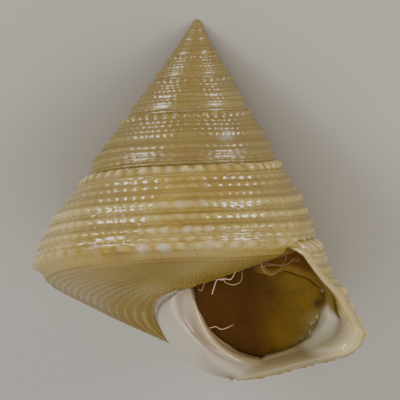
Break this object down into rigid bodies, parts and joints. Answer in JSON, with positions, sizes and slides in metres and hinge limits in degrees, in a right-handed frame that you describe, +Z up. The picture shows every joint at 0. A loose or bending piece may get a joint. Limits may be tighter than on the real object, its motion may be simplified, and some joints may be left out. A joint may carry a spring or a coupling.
{
  "type": "top snail shell",
  "caption": "Cone-shaped sea snail shell with fine beaded cords, a white pillar and a horny lid drawn into its mouth, lying on its side.",
  "frame": {"origin": "on the surface it rests on, under the middle of the object's box", "axes": "+Z up with the shell lying on its back and its mouth up, the tip of the spire points to +Y, +X is to the right of the mouth's far side"},
  "size_m": [0.0286, 0.0284, 0.0203],
  "materials": {
    "shell": "glossy cream and tan lime shell, white pillar, beaded",
    "operculum": "dark amber-brown horn, satin"
  },
  "bodies": {
    "root": {"shell": "shell", "operculum": "operculum"}
  },
  "joints": []
}
